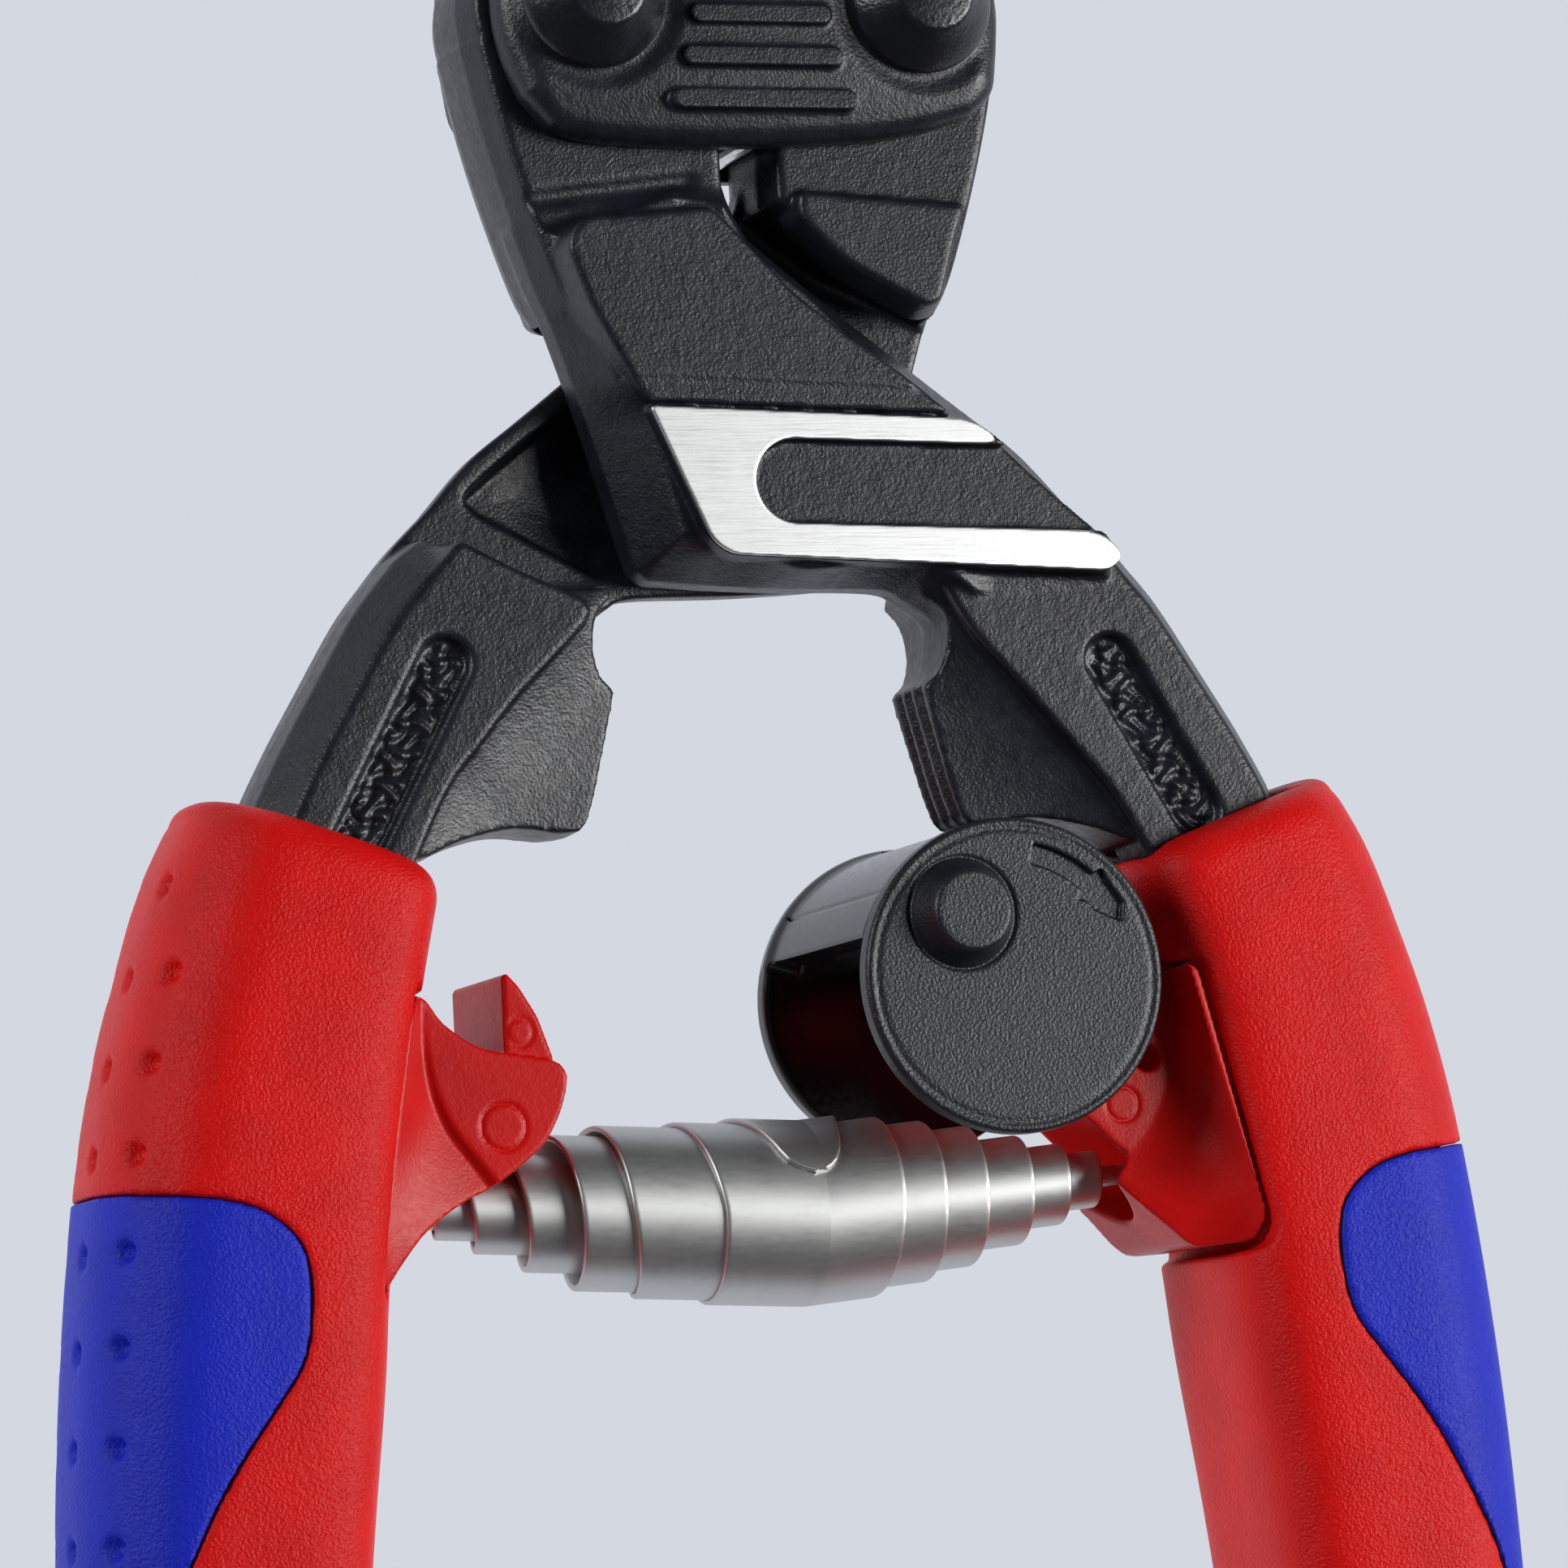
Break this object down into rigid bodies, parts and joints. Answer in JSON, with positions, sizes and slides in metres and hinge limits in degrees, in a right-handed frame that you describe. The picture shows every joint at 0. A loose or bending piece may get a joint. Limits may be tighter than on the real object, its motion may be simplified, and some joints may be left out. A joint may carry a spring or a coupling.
{
  "type": "bolt cutters",
  "caption": "Compact lever bolt cutters with a geared jaw head, sleeved handles, an opening spring between the handles and a drum lock.",
  "frame": {"origin": "middle of the base plane under the tool as it lies on its back, halfway along and across it", "axes": "+Y towards the jaw tips, +Z out of the front face, +X to the right seen from the front"},
  "size_m": [0.0974, 0.1978, 0.0238],
  "materials": {
    "forged_black": "satin black forging scale with fine grain",
    "plate_black": "satin black",
    "bolt_black": "semi-gloss black",
    "ground_steel": "ground satin",
    "jaw_steel": "dark ground steel",
    "spring_steel": "rolled strip",
    "red_plastic": "fine moulded grain",
    "blue_soft": "fine moulded grain",
    "black_plastic": "fine moulded grain"
  },
  "bodies": {
    "head": {"front_cover_plate": "plate_black", "rear_cover_plate": "plate_black", "left_lever_bolt": "bolt_black", "right_lever_bolt": "bolt_black", "jaw_bolt": "bolt_black", "left_lever_nut": "bolt_black", "right_lever_nut": "bolt_black", "jaw_bolt_nut": "bolt_black", "stop_pin": "ground_steel"},
    "right_handle": {"right_handle_lever": "forged_black", "right_grip": "red_plastic", "right_soft_zone": "blue_soft", "right_bracket": "red_plastic", "lock_pin": "ground_steel", "right_volute_spring": "spring_steel"},
    "left_handle": {"left_handle_lever": "forged_black", "left_grip": "red_plastic", "left_soft_zone": "blue_soft", "left_bracket": "red_plastic", "left_volute_spring": "spring_steel"},
    "right_jaw_body": {"right_jaw": "jaw_steel"},
    "left_jaw_body": {"left_jaw": "jaw_steel"},
    "lock": {"lock_drum": "black_plastic", "lock_end_disc": "black_plastic"}
  },
  "joints": [
    {"name": "right_handle_pivot", "type": "hinge", "parent": "head", "child": "right_handle", "pos_m": [-0.011, 0.05445, 0.0112], "axis": [0, 0, -1], "range_deg": [0, 11], "stiffness_Nm_per_rad": 2, "springref_deg": -5.73, "deforming": ["right_volute_spring"]},
    {"name": "left_handle_pivot", "type": "hinge", "parent": "head", "child": "left_handle", "pos_m": [0.011, 0.05445, 0.0112], "axis": [0, 0, 1], "range_deg": [0, 11], "deforming": ["left_volute_spring"]},
    {"name": "right_jaw_pivot", "type": "hinge", "parent": "head", "child": "right_jaw_body", "pos_m": [0, 0.06945, 0.0112], "axis": [0, 0, 1], "range_deg": [0, 8.8]},
    {"name": "left_jaw_pivot", "type": "hinge", "parent": "head", "child": "left_jaw_body", "pos_m": [0, 0.06945, 0.0112], "axis": [0, 0, -1], "range_deg": [0, 8.8]},
    {"name": "lock_turn", "type": "hinge", "parent": "right_handle", "child": "lock", "pos_m": [0.0126, -0.00845, 0.0112], "axis": [0, 0, 1], "range_deg": [0, 50]}
  ],
  "couplings": [
    {"joint": "left_handle_pivot", "follows": "right_handle_pivot", "ratio": 1},
    {"joint": "right_jaw_pivot", "follows": "right_handle_pivot", "ratio": 0.8},
    {"joint": "left_jaw_pivot", "follows": "right_handle_pivot", "ratio": 0.8}
  ]
}
